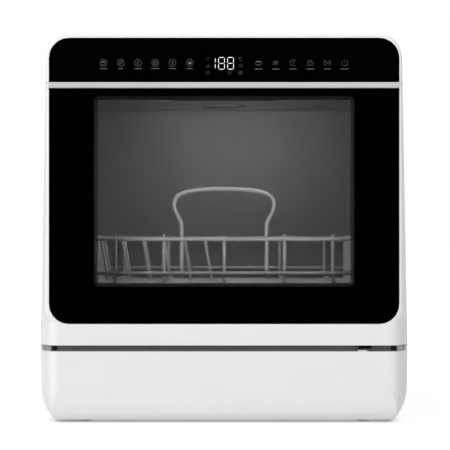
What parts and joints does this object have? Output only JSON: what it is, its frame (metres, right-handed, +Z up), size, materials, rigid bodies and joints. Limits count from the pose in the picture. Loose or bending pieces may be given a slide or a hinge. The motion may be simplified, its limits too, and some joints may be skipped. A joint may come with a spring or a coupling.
{
  "type": "countertop dishwasher",
  "caption": "Countertop dishwasher with a drop-down windowed door, touch control panel, sliding wire rack, rotating spray arm, filler lid, filter and rear water ports",
  "frame": {"origin": "On the worktop, at the middle of the whole object's footprint (grip strip to rear ports)", "axes": "+X to the right seen from the front, +Y to the rear (the door faces -Y), +Z up"},
  "size_m": [0.4264, 0.44, 0.446],
  "materials": {
    "white_casing": "smooth white moulding",
    "rear_sheet": "pale grey coated sheet",
    "dark_plastic": "dark moulding",
    "foot_plastic": "pale grey moulding",
    "foot_rubber": "soft black rubber",
    "panel_glass": "polished black glass, printed black behind",
    "circuit_board": "circuit board with its parts",
    "reveal_grey": "dark grey strip",
    "painted_frame": "pale coated steel",
    "tub_steel": "satin stainless",
    "grey_plastic": "mid grey moulding",
    "seal_rubber": "soft grey seal",
    "light_plastic": "light grey moulding",
    "hose_rubber": "black hose",
    "motor_steel": "bare steel",
    "tank_plastic": "milky blow moulding",
    "fill_plastic": "off-white moulding",
    "lamp_lens": "frosted lens",
    "hinge_steel": "black coated steel",
    "screw_steel": "bright plated steel",
    "door_glass": "tinted tempered glass",
    "print_black": "black print on the back of the glass",
    "strip_aluminium": "satin anodised",
    "tunnel_plastic": "black moulding",
    "inner_glass": "clear tempered glass",
    "bumper_rubber": "black rubber block",
    "rack_coating": "grey coated wire",
    "spray_plastic": "grey moulding",
    "filter_plastic": "fine mesh and pale moulding",
    "impeller_plastic": "natural moulding on a steel shaft"
  },
  "bodies": {
    "cabinet": {"outer_shell": "white_casing", "rear_panel": "rear_sheet", "base_fascia": "white_casing", "base_plate": "dark_plastic", "feet": "foot_plastic", "foot_pads": "foot_rubber", "top_fascia": "white_casing", "control_glass": "panel_glass", "control_board": "circuit_board", "reveal_trim": "reveal_grey", "front_frame": "painted_frame", "tub_shell": "tub_steel", "tub_floor": "grey_plastic", "tub_gasket": "seal_rubber", "rack_rails": "light_plastic", "sump": "grey_plastic", "coarse_filter": "tub_steel", "spray_stub": "grey_plastic", "ceiling_nozzle": "grey_plastic", "hoses": "hose_rubber", "pump_volute": "dark_plastic", "pump_motor": "motor_steel", "flow_heater": "motor_steel", "drain_pump": "dark_plastic", "water_tank": "tank_plastic", "fill_port": "fill_plastic", "inlet_valve": "fill_plastic", "drain_port": "dark_plastic", "cord_gland": "hose_rubber", "fan_housing": "dark_plastic", "interior_lamp": "lamp_lens", "latch_switch": "dark_plastic", "hinge_brackets": "hinge_steel", "power_board": "circuit_board", "casing_screws": "screw_steel"},
    "door": {"door_frame": "white_casing", "door_glass": "door_glass", "glass_print": "print_black", "handle_strip": "strip_aluminium", "window_tunnel": "tunnel_plastic", "inner_glass": "inner_glass", "door_liner": "tub_steel", "detergent_cup": "grey_plastic", "door_strike": "screw_steel", "door_bumper": "bumper_rubber", "hinge_pins": "screw_steel"},
    "detergent_lid": {"detergent_lid": "grey_plastic"},
    "rack": {"rack_floor": "rack_coating", "rack_tines": "rack_coating", "rack_front": "rack_coating", "rack_sides": "rack_coating", "rack_back": "rack_coating", "rack_handle": "rack_coating", "rack_glides": "light_plastic"},
    "lower_spray_arm": {"lower_spray_arm": "spray_plastic"},
    "micro_filter": {"micro_filter": "filter_plastic"},
    "pump_impeller": {"pump_impeller": "impeller_plastic"},
    "fan_wheel": {"fan_wheel": "dark_plastic"},
    "fill_lid": {"fill_lid": "white_casing"}
  },
  "joints": [
    {"name": "door_hinge", "type": "hinge", "parent": "cabinet", "child": "door", "pos_m": [0, -0.202, 0.096], "axis": [1, 0, 0], "range_deg": [0, 90]},
    {"name": "rack_slide", "type": "slide", "parent": "cabinet", "child": "rack", "axis": [0, -1, 0], "range_m": [0, 0.15]},
    {"name": "detergent_lid_slide", "type": "slide", "parent": "door", "child": "detergent_lid", "axis": [1, 0, 0], "range_m": [0, 0.044]},
    {"name": "lower_arm_spin", "type": "hinge", "parent": "cabinet", "child": "lower_spray_arm", "pos_m": [0, -0.008, 0.142], "axis": [0, 0, 1], "continuous": true},
    {"name": "filter_twist", "type": "hinge", "parent": "cabinet", "child": "micro_filter", "pos_m": [0.095, 0.06, 0.1], "axis": [0, 0, 1], "range_deg": [0, 90]},
    {"name": "pump_impeller_spin", "type": "hinge", "parent": "cabinet", "child": "pump_impeller", "pos_m": [0.014, 0.06, 0.08], "axis": [1, 0, 0], "continuous": true},
    {"name": "fan_spin", "type": "hinge", "parent": "cabinet", "child": "fan_wheel", "pos_m": [0.105, 0.07, 0.405], "axis": [0, 0, 1], "continuous": true},
    {"name": "fill_lid_hinge", "type": "hinge", "parent": "cabinet", "child": "fill_lid", "pos_m": [-0.12, 0.19, 0.4434], "axis": [-1, 0, 0], "range_deg": [0, 95]}
  ],
  "couplings": [
    {"joint": "rack_slide", "follows": "door_hinge", "m_per_rad": 0.0954}
  ]
}
